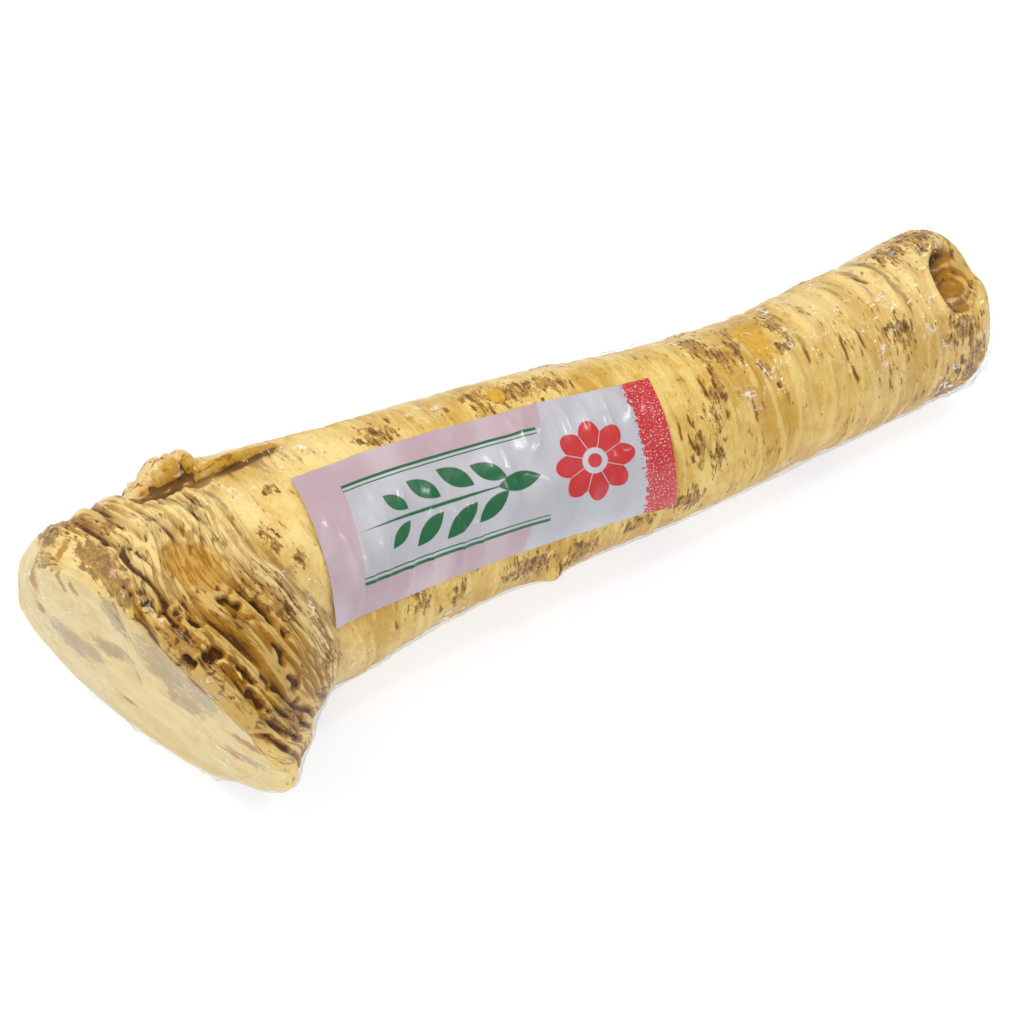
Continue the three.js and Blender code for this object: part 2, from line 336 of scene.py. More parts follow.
def rootSkinMaterial():
    material, tree = newMaterial("rootSkin")
    c = rootColours
    place = layer(tree, "straight", "Vector")
    band, face, bark, orange, torn, hollow, slit = (
        layer(tree, n) for n in ("band", "face", "bark", "orange", "torn", "hollow", "slit"))
    stain, rim, gold, tail, pale, lump, shoulder = (
        layer(tree, n) for n in ("stain", "rim", "gold", "tail", "pale", "lump", "shoulder"))

    def centred(value, size):
        return times(minus(value, 0.5), size)

    clouds = grain(place, (0.06, 0.05, 0.05), 1, 1)
    mottle = grain(place, (0.26, 0.2, 0.2), 1, 3, 0.6)
    clumps = grain(place, (0.85, 0.45, 0.45), 1, 3, 0.68)
    strokes = grain(place, (1.5, 0.33, 0.33), 1, 2, 0.6)
    fine = grain(place, (1.7, 0.95, 0.95), 1, 2, 0.65)
    rings = grain(place, (0.42, 0.05, 0.05), 1, 2, 0.6)
    threads = grain(place, (1.5, 0.12, 0.12), 1, 3, 0.6)
    ragged = plus(centred(clumps, 2.6), centred(strokes, 1.6))

    # the skin of the shaft: cream to straw, with golden clouds, faint rings and small marks; painted shade
    # turns it golden towards the underside and brown in its hollows, and a painted highlight pales its crests
    skin = tint(eased(mottle, 0.36, 0.62), c["cream"], c["straw"])
    high = addNode(tree, "SeparateXYZ", {0: place}).outputs[2]
    sunken = plus(hollow, centred(strokes, 0.3))
    marks = plus(plus(strokes, centred(mottle, 0.5)), times(tail, 0.05))
    skin = coated(
        skin, c,
        (eased(clouds, 0.44, 0.66, 0, 0.75), "golden"),
        (times(tail, 0.4), "tan"),
        (eased(rings, 0.5, 0.7, 0, 0.42), "golden"),
        (eased(clumps, 0.55, 0.72, 0, 0.5), "golden"),
        (eased(threads, 0.54, 0.68, 0, 0.35), "tan"),
        # painted shade: golden towards the underside, darker below than on top
        (eased(high, 2, -19, 0, 0.6), "golden"),
        # painted highlight: cream laid on the convex crests
        (eased(hollow, 0.46, 0.36, 0, 0.6), "cream"),
        (times(pale, 0.6), "pale"),
        # painted shade: dark brown in the hollows, broken up by stroke noise
        (eased(sunken, 0.54, 0.68, 0, 0.55), "streakAndShade"),
        (eased(plus(mottle, centred(fine, 0.3)), 0.56, 0.7, 0, 0.5), "tan"),
        (eased(marks, 0.67, 0.75, 0, 0.6), "streakAndShade"),
    )

    # the scarred band behind the cut face: ochre slopes and dark cracks between cream plates, partly real
    # colour and partly painted light: the crests are paled as a painted highlight and the hollows turn ochre
    # as painted shade
    banded = tint(eased(plus(hollow, centred(mottle, 0.6)), 0.3, 0.52), c["crest"], c["ochre"])
    # painted highlight: cream laid on the convex crests of the band
    crest = times(eased(sunken, 0.45, 0.3, 0, 0.85), eased(gold, 0.25, 0.9, 1, 0.6))
    lines = maths("ABSOLUTE", centred(grain(place, (0.5, 0.045, 0.045), 1, 2, 0.5), 1))
    lines = times(eased(lines, 0.004, 0.03, 1, 0), eased(mottle, 0.4, 0.5, 0.15, 0.7))
    banded = coated(
        banded, c,
        (eased(plus(gold, times(ragged, 0.4)), 0.15, 0.7, 0, 0.88), "ochre"),
        (crest, "crest"),
        (times(pale, 0.6), "pale"),
        (eased(threads, 0.56, 0.66, 0, 0.6), "streakAndShade"),
        (lines, "streakAndShade"),
        (eased(plus(strokes, centred(mottle, 0.9)), 0.62, 0.76, 0, 0.85), "speckAndShade"),
    )
    skin = tint(times(band, 0.97), skin, banded)
    fibres = tint(eased(plus(threads, centred(clumps, 0.5)), 0.42, 0.62), c["torn"], c["ochre"])
    skin = tint(times(torn, 0.9), skin, fibres)

    # the bud and its rootlet, streaked lengthwise, with painted shade in their hollows
    along = grain(place, (0.2, 1.1, 1.1), 1, 3, 0.6)
    budTone = coated(
        c["bud"], c,
        (eased(plus(gold, centred(clumps, 0.8)), 0.25, 0.75), "golden"),
        (eased(plus(along, centred(clumps, 0.5)), 0.54, 0.66, 0, 0.85), "streakAndShade"),
        # painted shade: dark brown in the bud's hollows
        (eased(plus(hollow, centred(clumps, 0.3)), 0.54, 0.66, 0, 0.85), "speckAndShade"),
    )
    skin = tint(lump, skin, budTone)

    # brown bark left in patches, broken up at its edges, and orange patches beside it
    barkTone = tint(eased(plus(strokes, centred(fine, 0.6)), 0.46, 0.64), c["bark"], c["speckAndShade"])
    skin = tint(eased(plus(bark, ragged), 0.45, 0.72, 0, 0.9), skin, barkTone)
    amber = tint(eased(clumps, 0.52, 0.68, 0, 0.6), c["orange"], c["rust"])
    skin = tint(eased(plus(orange, times(ragged, 0.3)), 0.5, 0.66, 0, 0.94), skin, amber)

    # the cut face, with grey and brown stains
    stained = plus(stain, plus(centred(fine, 0.9), centred(clumps, 1.1)))
    cut = coated(
        c["cut"], c,
        (eased(mottle, 0.42, 0.66, 0, 0.5), "straw"),
        (eased(stained, 0.3, 0.85, 0, 0.75), "cutGrey"),
        (eased(plus(rim, times(ragged, 0.4)), 0.28, 0.7, 0, 0.8), "rust"),
    )
    skin = tint(times(face, eased(bark, 0.25, 0.5, 1, 0.2)), skin, cut)
    worn = tint(eased(plus(fine, centred(clumps, 0.7)), 0.42, 0.62), c["bark"], c["shoulder"])
    rough = plus(shoulder, times(ragged, 0.5))
    skin = tint(eased(rough, 0.4, 0.6, 0, 0.92), skin, worn)

    # dark in slits, and painted shade darkening the hollows
    cracked = plus(slit, plus(centred(strokes, 0.9), centred(clumps, 0.9)))
    # painted shade: near black deep in the hollows, strongest in the band
    depth = times(eased(hollow, 0.58, 0.88, 0, 0.92), plus(times(band, 0.6), 0.4))
    skin = coated(skin, c, (eased(cracked, 0.45, 0.85, 0, 0.85), "streakAndShade"), (depth, "deep"))

    relief = plus(times(threads, 0.7), times(fine, 0.7))
    bump = bumped(relief, 0.7, 0.6 * mm)
    shader = addNode(tree, "BsdfPrincipled", {
        "Base Color": skin, "Roughness": eased(fine, 0.3, 0.7, 0.5, 0.72), "Normal": bump,
        "Specular IOR Level": 0.08})
    setSurface(tree, shader.outputs[0])
    return material


rootShape = {
    "voxel": 0.46, "triangles": 196000, "lowest": 0.4, "widest": 30,
    "bulge": 1.9, "knife": (0.5, 0.12),  # of the cut face: its dome, and broad and fine knife marks
    "wornTop": 1.1,  # of the shoulder over it
    "lobes": [  # along, angle, rise of its middle over the skin, half length, half width, half height
        (25.4, 55, -0.2, 5.6, 4.5, 4.2), (29.6, 57, -0.6, 2.1, 4.7, 4.4), (20, 54, -0.8, 4.2, 3.2, 2.4),
    ],
    "rootlet": [  # along, angle, rise of its middle, radius
        (29.5, 62.5, 0, 1.9), (32.5, 65, 0.7, 1.8), (36, 66, 0.7, 1.4), (39.5, 66, 0.5, 1),
        (44, 65.5, -0.2, 0.5),
    ],
    "bud": (25, 55, 6.6, 5.4),  # along, angle, half length, half width round
    "nub": {"along": 87.5, "angle": 207, "round": 2.6, "high": 2.2},
    "scar": {"middle": (194.2, 114), "bottom": (191, 140), "wide": 5.4, "tall": 8.8, "deep": 4.2},
}
crownBand = {
    # at each angle: the band's edges along the root, how far out the cut edge is, and how far
    # the ridges run in over the cut face
    "angles": [0, 40, 60, 75, 85, 95, 106, 120, 140, 160, 175, 185, 200, 260, 320],
    "inner": [1, 6, 6, 5.5, 3.2, 0.2, -2, -3, -3, -3, -1.5, 1, 1.5, 1, 1],
    "outer": [24, 28, 27.5, 26.8, 26.4, 26.1, 25.8, 25, 25.3, 27.5, 27, 26.5, 24, 20, 20],
    "radius": [33, 28.9, 28, 27.2, 26.7, 26.4, 26.4, 26.9, 28, 30.1, 31, 31.5, 31.6, 26, 33.5],
    "spill": [0, 0, 0, 0, 0, 0.6, 1.5, 3, 3, 2.4, 0.8, 0, 0, 0, 0],
    "grooves": [  # share of the way from inner to outer edge, depth and half width
        (0.05, 1.1, 0.6), (0.13, 0.8, 0.4), (0.21, 1.6, 0.7), (0.31, 0.8, 0.45), (0.4, 1.3, 0.6),
        (0.48, 1, 0.5), (0.57, 0.6, 0.4), (0.65, 0.8, 0.45), (0.73, 0.5, 0.35), (0.81, 0.9, 0.5),
        (0.9, 0.5, 0.35), (0.99, 0.8, 0.5),
    ],
    "pits": [  # along, angle, half length, half width round, depth
        (9.2, 78, 2.2, 1.5, 0.9), (11, 83, 1.1, 1.6, 0.8), (4.4, 97, 0.9, 2.6, 1.1),
        (0.6, 128, 1.2, 1.5, 1.9), (2.6, 132, 1.2, 1.7, 1.8), (5, 131, 1.1, 2.1, 1.6),
        (5.3, 146, 0.9, 2.8, 1), (4.1, 155, 1, 3.6, 1.2), (12.6, 161, 1.8, 2, 1.3),
        (1.8, 163, 0.9, 2.6, 0.8), (3.4, 104, 0.8, 5, 1.4), (5.8, 113, 0.9, 5.5, 1.5),
        (13, 123, 1.6, 3.6, 1.6), (17.2, 134, 0.9, 5, 1.2), (7.5, 152, 0.8, 3.2, 1.2),
        (10.2, 172, 1, 3.5, 1.4), (8.5, 70, 1, 1.6, 0.9), (16.6, 136, 0.9, 4, 1),
        (13.5, 150, 1, 2.6, 1.2),
    ],
    "folds": [  # from a place to a place, depth, half width
        ((0.2, 162), (3.8, 181), 1.1, 0.7), ((2.6, 161), (7.4, 184), 1.2, 0.7),
        ((5.4, 160), (11, 186), 1, 0.7), ((8.2, 162), (14, 184), 0.8, 0.6),
        ((15.5, 98), (19.8, 88), 0.4, 0.5), ((8, 107), (6, 122), 1, 0.7),
        ((18, 61), (31, 68.5), 1, 0.6), ((27.9, 49), (27.3, 62), 0.8, 0.4),
        ((32, 50), (31.8, 61.5), 0.8, 0.5), ((22.5, 56.5), (26.5, 59), 0.35, 0.4),
    ],
    "gold": [  # along, angle, half length, half width round
        (6, 104, 5, 15), (9, 125, 6, 12), (14, 118, 5, 12), (19, 130, 4, 14), (12, 146, 5, 10),
        (0.5, 112, 3, 7), (0.5, 126, 3.4, 8), (0.5, 142, 3.4, 8), (1, 157, 3.2, 8), (8, 160, 6, 10),
        (7, 86, 5, 9), (17, 150, 4, 7), (21, 112, 4, 12), (16, 88, 3, 8), (24, 138, 3, 8), (16, 175, 4, 6),
        (12.5, 60, 3.5, 6), (9, 73, 3, 6), (4, 98, 4, 10), (11, 110, 6, 14), (22, 64, 4, 3.4),
        (27, 65, 4, 3), (34, 67.5, 5, 1.6), (41, 67.5, 5, 1.2),
    ],
    "torn": (14.4, 101, 4.4, 6.8),  # where the fibres are bared, in the same terms
    "proud": 0.7, "plates": 0.55, "finePlates": 0.3, "lumps": 0.5,  # heights
}
shaftMarks = {
    # heights of its relief; the rings stand out more towards the thin end
    "swell": 0.45, "rings": (0.2, 0.22), "wrinkles": 0.18, "pores": 0.06, "slitShare": 0.7, "flakes": 0.4,
    "slits": [  # along, from angle, to angle, depth
        (166.4, 97, 139, 0.7), (161.8, 112, 160, 0.7), (152.6, 110, 129, 0.5), (127.6, 106, 124, 0.6),
        (125.6, 124, 150, 0.5), (122.3, 116, 147, 0.5), (131.4, 118, 150, 0.5), (136.6, 131, 152, 0.4),
        (176.3, 76, 92, 0.7), (119.6, 128, 146, 0.4), (171.2, 150, 176, 0.4), (104.5, 182, 204, 0.6),
        (97.5, 186, 206, 0.5), (92, 183, 205, 0.6), (76, 74, 88, 0.4), (45, 176, 196, 0.4),
        (58, 176, 198, 0.4), (145, 128, 134, 1.1), (64, 60, 78, 0.4),
    ],
    "ridges": [  # along, from angle, to angle, rise
        (173.5, 56, 110, 0.7), (178.5, 60, 128, 0.8), (184, 58, 118, 0.7), (188.5, 66, 104, 0.6),
        (167, 64, 96, 0.5), (157, 60, 120, 0.5), (148.5, 100, 160, 0.4), (139, 96, 130, 0.5),
        (71, 50, 90, 0.4), (112, 170, 220, 0.5), (35, 100, 170, 0.3),
    ],
    "bark": [  # along, angle, half length, half width round
        (60, 83, 3.6, 3.4), (83, 78, 3.4, 5.5), (90, 80, 7, 3.6), (98, 83, 4.5, 3.2), (132, 80, 3, 4),
        (134, 92, 2.2, 2.2), (141, 80, 1.6, 3.4), (150.6, 88, 1.6, 4.4), (142.6, 115, 1.6, 2.2),
        (151, 100, 1.4, 3), (148.4, 107, 1.2, 2), (139.5, 92, 1.6, 2.4), (135, 100, 1.6, 3.4),
        (131, 112, 1.1, 5), (127.5, 134, 1.2, 4), (138.5, 104, 1, 3), (122, 150, 1.8, 4),
        (126, 160, 1.5, 4), (119, 186, 3.4, 3.6), (81, 190, 6, 4.5), (93, 198, 5, 4), (107, 189, 3, 2.4),
        (129, 122, 1.4, 3), (186, 73, 5, 4), (193, 70, 4, 6), (176, 134, 3.4, 4), (191, 150, 4, 4),
        (194, 178, 4, 10), (190, 200, 5, 6), (18.7, 181, 3, 3), (24, 168, 1.6, 2.4), (26, 150, 1.2, 3),
        (6.8, 44, 3, 5), (9, 50, 2, 4), (12, 66, 1.5, 3), (19.6, 134, 1.8, 5), (7, 172, 3, 4),
        (2, 122, 2.5, 7), (1.4, 45, 2, 5), (29, 112, 1.4, 4), (36, 90, 1.6, 1.4), (41.7, 97, 1.6, 1.8),
        (30.8, 126, 2, 1.6), (53, 176, 2.6, 3.6), (63, 184, 2, 3), (43, 36, 3, 7), (70, 24, 7, 4),
        (103, 31, 4, 8), (116, 10, 6, 3), (154, 356, 9, 4), (135, 40, 3, 6), (170, 24, 4, 5),
        (88, 340, 3, 6), (98, 320, 8, 5), (60, 300, 7, 8), (134, 290, 9, 6), (172, 330, 7, 6),
        (12, 330, 6, 8), (8, 280, 5, 10), (30, 250, 5, 6), (118, 240, 5, 5), (158, 240, 7, 4),
    ],
    "shoulder": [(5.4, 69, 2.4, 4.5), (4.2, 77, 2.4, 4.5), (2.8, 86, 2, 4), (1.6, 93, 1.4, 2.5)],
    "orange": [
        (145, 90, 3.2, 6), (144.6, 101, 3, 4.6), (142.6, 82, 1.8, 3), (86.4, 79, 2, 3),
        (121, 26, 5, 4), (70, 330, 5, 4),
    ],
    "pale": [
        (180, 86, 9, 13), (162, 84, 7, 8), (9.5, 84, 5, 9), (4, 60, 3, 6), (22, 80, 3, 8), (16, 74, 4, 6),
        (22, 100, 3.5, 9), (23, 122, 2.6, 8), (14, 88, 4, 6), (50, 80, 12, 8), (30, 92, 4, 9),
        (23.4, 151, 3, 8), (28, 145, 4, 9), (33, 118, 4, 8),
    ],
    "stains": [  # on the cut face: sideways and up from its middle, half width, half height
        (19.8, -1.4, 8, 6.5), (14, 0, 5, 4), (0.9, 21.5, 3.6, 7), (6.8, 6, 7, 2.6), (-9.7, 15.6, 8, 10),
        (-18.5, 13, 6, 8), (-13, 6, 6, 5), (-24, -4, 7, 2),
    ],
    "rims": [  # rusty streaks at the edge of the cut face, in the same terms
        (25, 14, 1.6, 4), (18, 26, 1.2, 5), (15.8, 20, 1, 4.5), (12.3, 20.5, 1, 3.5), (26, 4, 1.2, 3),
        (-27, 3, 5, 1.2), (-20, -6, 4, 0.9), (8, -13, 2.5, 0.9),
    ],
}


def rootBase():
    # a copy of the solid, its facets smoothed
    piece = bpy.data.objects.new("rootCopy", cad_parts["root"].data.copy())
    bpy.context.scene.collection.objects.link(piece)
    piece.data.materials.clear()
    inEditMode(
        piece,
        lambda: bpy.ops.mesh.remove_doubles(threshold=mergeGap),
        lambda: bpy.ops.mesh.tris_convert_to_quads(face_threshold=0.9, shape_threshold=0.9),
    )
    applyModifier(piece, "SUBSURF", levels=2, render_levels=2)
    return piece


def skinAt(along, angle, rise, surface):
    # the place that stands over the skin of the solid by rise
    away, middle = onRoot(along, angle, 60), onRoot(along, angle, 0)
    inward = (middle - away).normalized()
    return surface.ray_cast(away, inward)[0] - inward * rise * mm


def addLobe(spec, surface):
    # an egg lying along the skin, narrowed towards the cut face
    along, angle, rise, *halves = spec
    bpy.ops.mesh.primitive_uv_sphere_add(segments=40, ring_count=24, radius=1)
    lobe = bpy.context.object
    points = pointsOf(lobe)
    narrow = 1 - 0.35 * (1 - points[:, 0]) / 2
    points[:, 1:] *= narrow[:, None]
    _, forward, sideways, upward = sectionsAt(np.array([along]))
    outward = wayAt(angle, sideways[0], upward[0])
    across = np.cross(outward, forward[0])
    middle = np.array(skinAt(along, angle, rise, surface))
    movePoints(lobe, middle + (points * np.array(halves) * mm) @ np.stack([forward[0], across, outward]))
    return lobe


def addRootlet(surface):
    bpy.ops.curve.primitive_nurbs_path_add()
    path = bpy.context.object
    spline = path.data.splines[0]
    for point, (along, angle, rise, thick) in zip(spline.points, rootShape["rootlet"]):
        point.co = (*skinAt(along, angle, rise, surface), 1)
        point.radius = thick
    path.data.bevel_depth = mm
    path.data.bevel_resolution = 6
    path.data.use_fill_caps = True
    makeActive(path)
    bpy.ops.object.convert(target="MESH")
    rootlet = bpy.context.object
    inEditMode(rootlet, lambda: bpy.ops.mesh.remove_doubles(threshold=mergeGap),
               lambda: bpy.ops.mesh.normals_make_consistent(inside=False))
    return rootlet


def bandShare(along, angle):
    inner = np.interp(angle, crownBand["angles"], crownBand["inner"], period=360)
    outer = np.interp(angle, crownBand["angles"], crownBand["outer"], period=360)
    return (along - inner) / (outer - inner), outer - inner


def segmentDistance(along, angle, out, start, end):
    # how far each point is from a short line on the skin, and where along it, in shares
    reach = np.radians(turnFrom(angle, start[1])) * out
    far = math.radians(end[1] - start[1]) * 28
    run = np.array([end[0] - start[0], far])
    share = np.clip(((along - start[0]) * run[0] + reach * run[1]) / (run @ run), 0, 1)
    return np.hypot(along - start[0] - share * run[0], reach - share * run[1]), share


def spots(along, angle, out, places):
    total = np.zeros_like(along)
    for spot in places:
        a, b = (along - spot[0]) / spot[2], np.radians(turnFrom(angle, spot[1])) * out / spot[3]
        total = np.maximum(total, bell(np.hypot(a, b) * 0.9))
    return total


def scarShape(points, outward, along, angle, rough):
    # the scar of a side root near the thin end: a bowl with a lip, and a ringed core in it
    scar = rootShape["scar"]

    def nearestTo(spot):
        return np.argmin(np.hypot(along - spot[0], turnFrom(angle, spot[1]) * 0.3))

    middle = points[nearestTo(scar["middle"])]
    facing = outward[np.linalg.norm(points - middle, axis=1) < 7].mean(axis=0)
    facing /= np.linalg.norm(facing)
    tall = middle - points[nearestTo(scar["bottom"])]
    tall -= facing * (tall @ facing)
    tall /= np.linalg.norm(tall)
    offset = points - middle
    near = stepUp(offset @ facing, -14, -9)
    wayOut = np.cross(facing, tall)
    wayOut *= np.sign(wayOut[0])
    over = offset @ wayOut / scar["wide"]
    ring = np.hypot(over, offset @ tall / scar["tall"])
    ring = ring + 0.07 * rough((4, 4, 4), 25) + (1 - near) * 4
    inward = np.clip(0.5 - 0.9 * over, 0, 1)
    bowl = -scar["deep"] * (1 - stepUp(ring, 0.8, 1)) * inward + 0.9 * bell((ring - 1.14) / 0.13) * inward
    bowl += (1 - stepUp(ring, 0.75, 0.9)) * 0.5 * rough((2.2, 2.8, 2.8), 26, ring < 1)
    bowl += 2.2 * bell((over - 1.1) / 0.5) * bell(offset @ tall / scar["tall"] / 0.8) * near
    core = np.hypot(over - 0.15, offset @ tall / scar["tall"] + 0.1)
    bowl -= 0.5 * bell((core - 0.52) / 0.06) + 0.3 * bell((core - 0.28) / 0.05)
    return facing, bowl, ring


def carveRoot(piece):
    along, angle, out, straight = unrolled(pointsOf(piece))
    outward = normalsOf(piece)
    spread = np.minimum(out, rootShape["widest"])
    rough, sharp = partial(roughly, straight), partial(ridged, straight)
    marked = partial(spots, along, angle, spread)

    # near the cut face the grain follows its slanting edge
    inner, edge, spill = (np.interp(angle, crownBand["angles"], crownBand[k], period=360)
                          for k in ("inner", "radius", "spill"))
    straight[:, 0] -= inner * (1 - stepUp(along, 14, 44)) * stepUp(out, 12, 22)
    straight[:, 0] -= np.clip(edge - out, 0, 6) * (1 - stepUp(along, 0.5, 3))
    height = np.zeros_like(along)
    slit = np.zeros_like(along)

    # the cut face bulges a little, with broad knife facets and a worn edge
    centre, forward, _, _ = sectionsAt(np.zeros(1))
    onFace = ((toLine(pointsOf(piece)) - centre) * forward).sum(-1)
    facing = -(outward @ forward[0])
    face = stepUp(facing, 0.35, 0.8) * stepUp(-onFace, -6, -2)
    spill += 1.8 * rough((5, 4, 4), 12) + 0.8 * rough((2, 2, 2), 13)
    face *= stepUp(edge - out - spill, -0.6, 0.6)
    broad, fine = rootShape["knife"]
    knife = rough((30, 16, 5), 3) * broad + rough((30, 5, 2), 4) * fine
    height += face * (rootShape["bulge"] * (1 - np.clip(out / 32, 0, 1) ** 2) + knife)

    # ridges and grooves of old leaf scars
    share, width = bandShare(along, angle)
    wave = rough((20, 16, 16), 1) * 2 + rough((6, 7, 7), 2) * 0.6
    share = share + wave / width * stepUp(share, -0.05, 0.12)
    lump = marked([rootShape["bud"]])
    bends = [spot[:2] for spot in rootShape["rootlet"][::2]]
    for start, end in zip(bends, bends[1:]):
        lump = np.maximum(lump, bell(segmentDistance(along, angle, spread, start, end)[0] / 2.2))
    lump = stepUp(lump, 0.35, 0.6)
    band = stepUp(share, -0.06, 0.03) * (1 - stepUp(share, 0.96, 1.06)) * (1 - face) * (1 - lump)
    depth = np.zeros_like(along)
    for i, (at, deep, half) in enumerate(crownBand["grooves"]):
        gap = (share - at) * width
        strength = 0.6 + 1.2 * rough((14, 16, 16), 10 + i)
        profile = np.where(gap < 0, bell(gap / half), bell(gap / (half * 2.2)))
        depth = np.maximum(depth, deep * np.clip(strength, 0.05, 1.2) * profile)
    lamellae = sharp((4, 26, 26), 5) * crownBand["plates"] + sharp((1.6, 14, 14), 6) * crownBand["finePlates"]
    lamellae += crownBand["lumps"] * rough((5, 8, 8), 14)
    torn = marked([crownBand["torn"]])
    torn = stepUp(torn + 0.12 * rough((3, 3, 3), 7), 0.42, 0.55)
    calm = 1 - 0.55 * torn
    height += band * calm * (crownBand["proud"] - depth + lamellae)
    skin = 1 - face
    for along0, angle0, half, halfRound, deep in crownBand["pits"]:
        a, b = (along - along0) / half, np.radians(turnFrom(angle, angle0)) * spread / halfRound
        near = np.hypot(a, b)
        near += rough(1.7, 8, near < 2.2)
        height -= skin * 0.85 * deep * (1 - stepUp(near, 0.4, 1.15))
    for start, end, deep, half in crownBand["folds"]:
        away, share0 = segmentDistance(along, angle, spread, start, end)
        height -= skin * deep * bell(away / half) * stepUp(np.sin(share0 * math.pi), -0.1, 0.6)
    strands = 0.2 * (sharp((9, 1.6, 1.6), 9) - 0.6)
    height += lump * (strands + 0.15 * rough((5, 4, 4), 15))

    # a worn shoulder at the top of the cut face
    height -= rootShape["wornTop"] * bell(along / 3.2) * bell(turnFrom(angle, 62) / 30)

    # the pale cut surface runs on over the edge as far as the band
    runOn = (1 - stepUp(along - inner + 0.8 * rough((5, 3, 3), 11), -0.8, 0.4)) * (1 - lump)
    face = np.maximum(face, runOn * stepUp(out, 0, 1))

    # the shaft: gentle swellings, rings, wrinkles and slits
    shaft = stepUp(along, 22, 40) * (1 - stepUp(along, 200, 206))
    height += shaft * shaftMarks["swell"] * rough((22, 18, 18), 20)
    for along0, start, end, rise in shaftMarks["ridges"]:
        away = (along - along0 + 1.2 * rough((40, 12, 12), along0)) / 1.1
        within = 1 - stepUp(np.abs(turnFrom(angle, (start + end) / 2)) / (end - start) * 2, 0.5, 1.1)
        height += rise * within * np.where(away < 0, bell(away / 1.8), bell(away / 0.8))
    rings = sharp((5.5, 40, 40), 21) - 0.5
    shaft *= 1 - lump
    near, beyond = shaftMarks["rings"]
    height += shaft * (near + beyond * stepUp(along, 110, 150)) * rings
    height += shaft * shaftMarks["wrinkles"] * (sharp((1.8, 12, 12), 22) - 0.5)
    height += shaftMarks["pores"] * rough((1.4, 1.4, 1.4), 23)
    for i, (along0, start, end, deep) in enumerate(shaftMarks["slits"]):
        middle, half = (start + end) / 2, (end - start) / 2
        close = (np.abs(along - along0) < 4) & (np.abs(turnFrom(angle, middle)) < half * 1.15)
        wander = 1.5 * rough((40, 9, 9), 40 + i, close)
        wander += 0.35 * rough((4, 2, 2), 70 + i, close)
        broken = stepUp(rough((9, 4, 4), 100 + i, close), -0.35, 0.15) * close
        gap = bell((along - along0 + wander) / 0.5) * broken
        gap = gap * (1 - stepUp(np.abs(turnFrom(angle, middle)) / half, 0.55, 1.1))
        slit = np.maximum(slit, gap)
        height -= shaftMarks["slitShare"] * deep * gap

    # bark patches stand a little proud and rough
    bark = marked(shaftMarks["bark"]) * skin
    gold = marked(crownBand["gold"])
    orange = marked(shaftMarks["orange"])
    shoulder = marked(shaftMarks["shoulder"]) * stepUp(out, 12, 18)
    pale = marked(shaftMarks["pale"])
    flakes = sharp((1.2, 1.6, 1.6), 24)
    height += stepUp(bark, 0.3, 0.7) * (shaftMarks["flakes"] * flakes - 0.05)

    # the stub on the near side
    nub = rootShape["nub"]
    a, b = along - nub["along"], np.radians(turnFrom(angle, nub["angle"])) * spread
    height += nub["high"] * bell(np.hypot(a, b) / nub["round"])

    facing, bowl, ring = scarShape(pointsOf(piece) / mm, outward, along, angle, rough)
    inBowl = 1 - stepUp(ring, 0.85, 1.05)
    gold = np.maximum(gold, 1.3 * inBowl)
    pale *= 1 - inBowl
    bark *= 1 - inBowl
    band = np.maximum(band, 1 - stepUp(ring, 0.9, 1.1))
    tail = stepUp(along, 90, 196)

    movePoints(piece, pointsOf(piece) + (outward * height[:, None] + facing * bowl[:, None]) * mm)
    return {"along": along, "straight": straight, "band": band * (1 - 0.5 * torn), "face": face,
            "bark": bark, "orange": orange, "torn": torn * band, "slit": slit, "gold": gold, "tail": tail,
            "shoulder": shoulder, "lump": lump, "pale": pale, "bowl": 1 - stepUp(ring, 0.75, 0.95)}


def joinedRoot(name, voxel):
    # the root with its bud and rootlet, as one even mesh
    piece = rootBase()
    piece.name = name
    surface = surfaceOf(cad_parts["root"])
    lobes = [addLobe(spec, surface) for spec in rootShape["lobes"]] + [addRootlet(surface)]
    deselectAll()
    for lobe in lobes:
        lobe.select_set(True)
    piece.select_set(True)
    bpy.context.view_layer.objects.active = piece
    bpy.ops.object.join()
    applyModifier(piece, "REMESH", mode="VOXEL", voxel_size=voxel * mm)
    print(name, "remeshed:", len(piece.data.vertices), "points")
    return piece


def buildRoot():
    piece = joinedRoot("rootBody", rootShape["voxel"])
    layers = carveRoot(piece)

    # rest on the film, and measure how sunken each place is
    points = pointsOf(piece)
    points[:, 2] = np.maximum(points[:, 2], rootShape["lowest"] * mm)
    movePoints(piece, points)
    average = averager(piece)
    soft = points
    hollow = np.zeros(len(points))
    outward = normalsOf(piece)
    for passes in (6, 24):
        for _ in range(passes):
            soft = average(soft)
        hollow += ((soft - points) * outward).sum(-1) / mm
    hollow = 0.5 + hollow * 0.55 - 0.06 * layers["bowl"]
    layers["hollow"] = np.clip(hollow + 0.2 * bell((layers["along"] - 0.5) / 2.6) * layers["band"], 0, 1)
    sideways, up = layers["straight"][:, 1], layers["straight"][:, 2]
    for key, places in (("stain", "stains"), ("rim", "rims")):
        stain = np.zeros(len(points))
        for side, high, wide, tall in shaftMarks[places]:
            stain = np.maximum(stain, bell(np.hypot((sideways - side) / wide, (up - high) / tall)))
        layers[key] = stain * layers["face"]
    for key, values in layers.items():
        if key not in ("along", "bowl"):
            storeLayer(piece, key, values)
    inEditMode(piece, lambda: bpy.ops.mesh.quads_convert_to_tris())
    share = rootShape["triangles"] / len(piece.data.polygons)
    if share < 1:
        applyModifier(piece, "DECIMATE", ratio=share)
    makeActive(piece)
    bpy.ops.object.shade_smooth()
    return dressed(piece, rootSkinMaterial(), "root carved:")


filmShape = {
    "voxel": 0.8, "gap": 0.24, "start": 0.8, "passes": 120, "lowest": 0.03,
    "air": 1,  # how far it stands off where it is slack
    "search": 9,  # how far out the root's surface is looked for
    "folds": 0.42, "crumple": 0.3, "pleats": 0.75, "pleatCount": 19,
    "flattened": 0.7,  # share of its folds that the label presses flat
    "beyond": 1,  # it stays this near the solids' box
}


